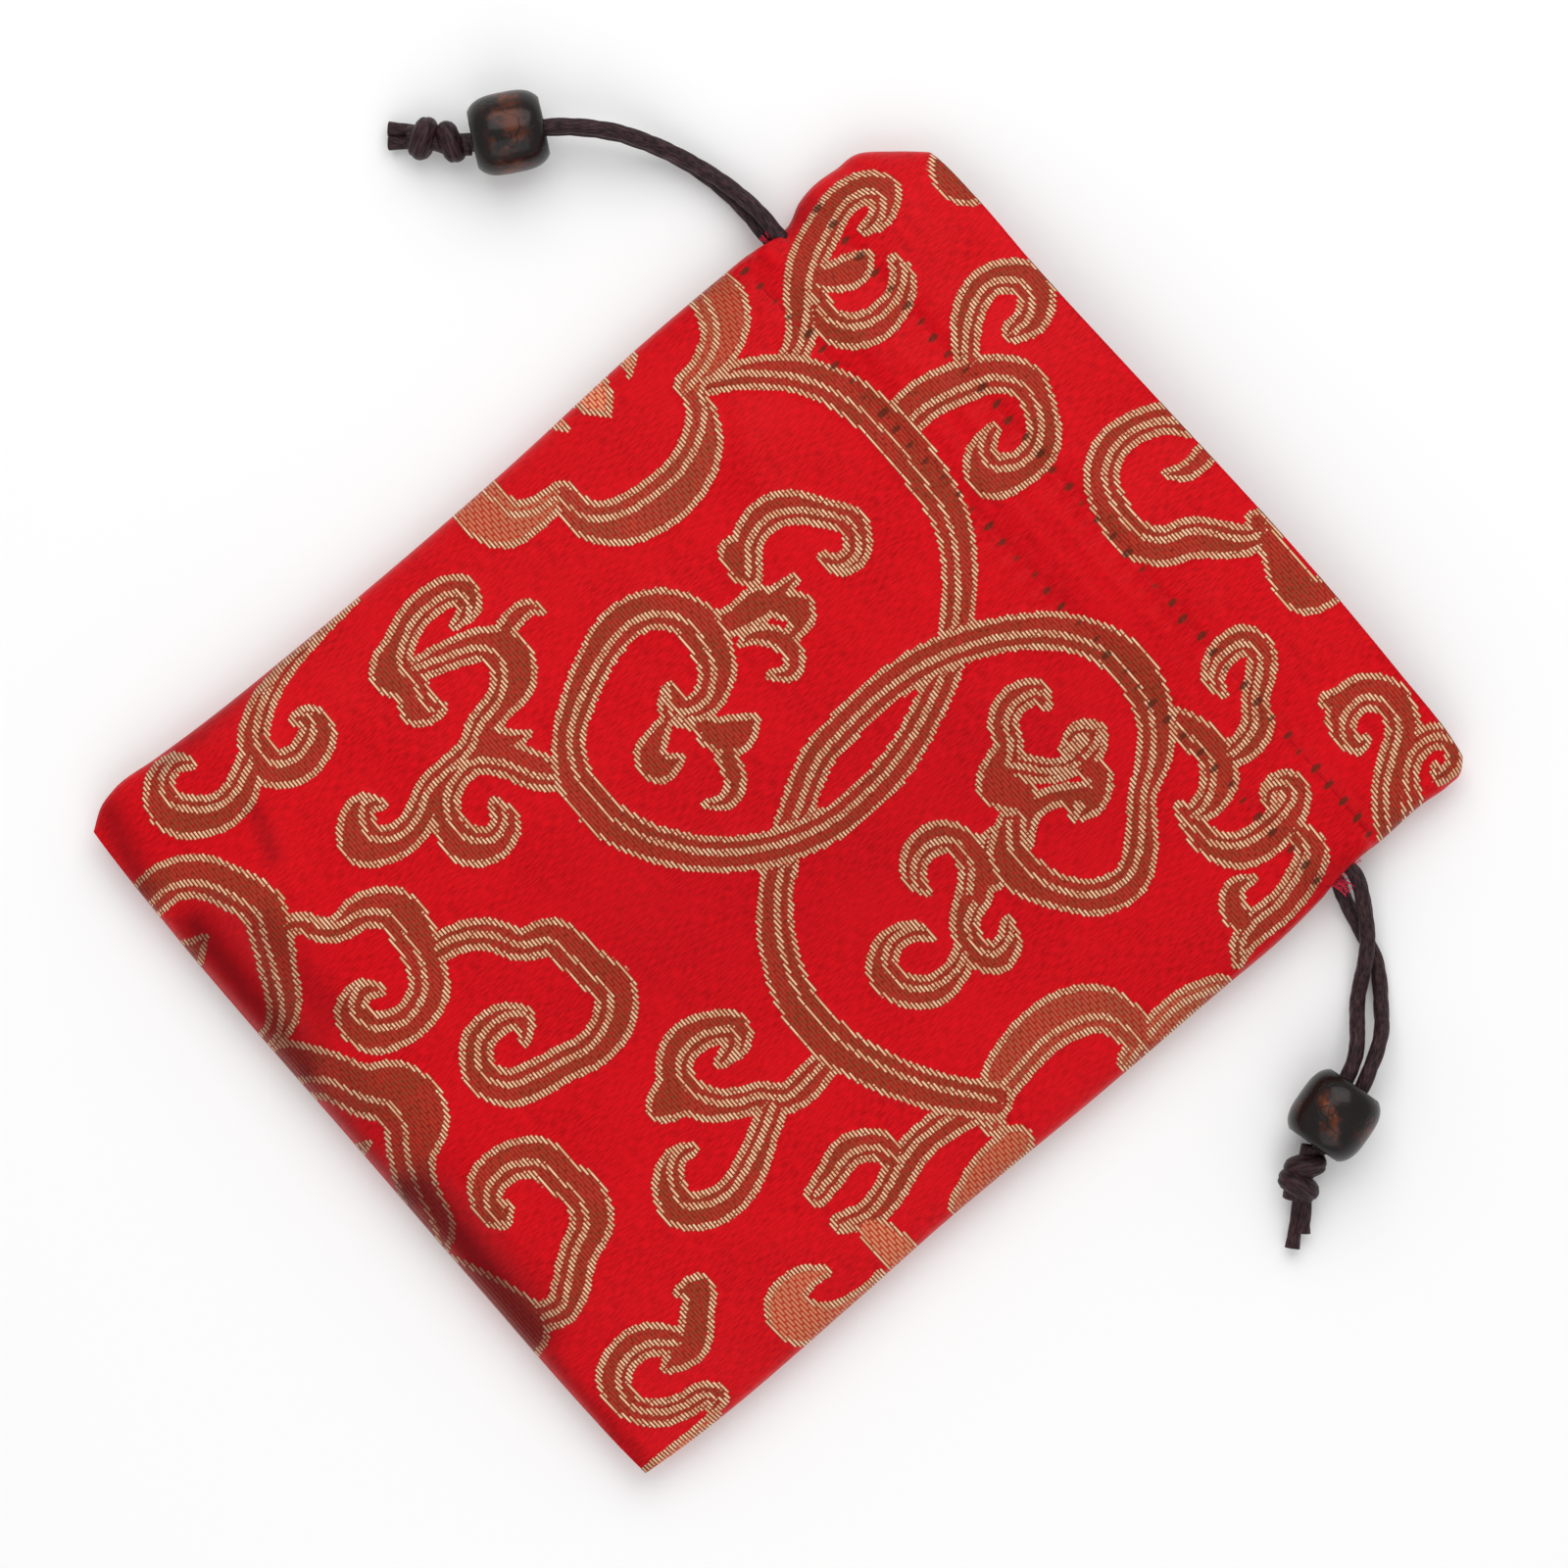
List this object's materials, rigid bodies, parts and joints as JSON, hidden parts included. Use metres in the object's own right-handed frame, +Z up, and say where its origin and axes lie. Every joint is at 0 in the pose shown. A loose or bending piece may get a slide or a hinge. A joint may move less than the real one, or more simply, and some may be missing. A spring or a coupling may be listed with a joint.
{
  "type": "kinchaku drawstring pouch",
  "caption": "Flat brocade drawstring pouch with an open mouth, a stitched channel, cords, wooden beads and overhand knots.",
  "frame": {"origin": "on the surface the pouch lies on, under the middle of the cloth", "axes": "+Z up, out of the front panel; +Y from the bottom fold to the mouth; +X to the pouch's right, seen from the front"},
  "size_m": [0.1858, 0.14, 0.0126],
  "materials": {
    "brocade": "red satin weave with gold and brown figured bands",
    "satin_cord": "dark aubergine braided satin",
    "lacquered_wood": "near-black lacquer over red-brown wood"
  },
  "bodies": {
    "pouch": {"pouch_cloth": "brocade", "left_cord_in_channel": "satin_cord", "right_cord_in_channel": "satin_cord", "left_cord_front_strand": "satin_cord", "left_cord_back_strand": "satin_cord", "right_cord_front_strand": "satin_cord", "right_cord_back_strand": "satin_cord", "left_knot": "satin_cord", "right_knot": "satin_cord"},
    "left_bead": {"left_bead": "lacquered_wood"},
    "right_bead": {"right_bead": "lacquered_wood"}
  },
  "joints": [
    {"name": "left_bead_slide", "type": "hinge", "parent": "pouch", "child": "left_bead", "pos_m": [-0.0576, 0.0132, 0.00525], "axis": [0, 0, -1], "range_deg": [0, 14]},
    {"name": "right_bead_slide", "type": "hinge", "parent": "pouch", "child": "right_bead", "pos_m": [0.0483, 0.0195, 0.00525], "axis": [0, 0, 1], "range_deg": [0, 5]}
  ]
}
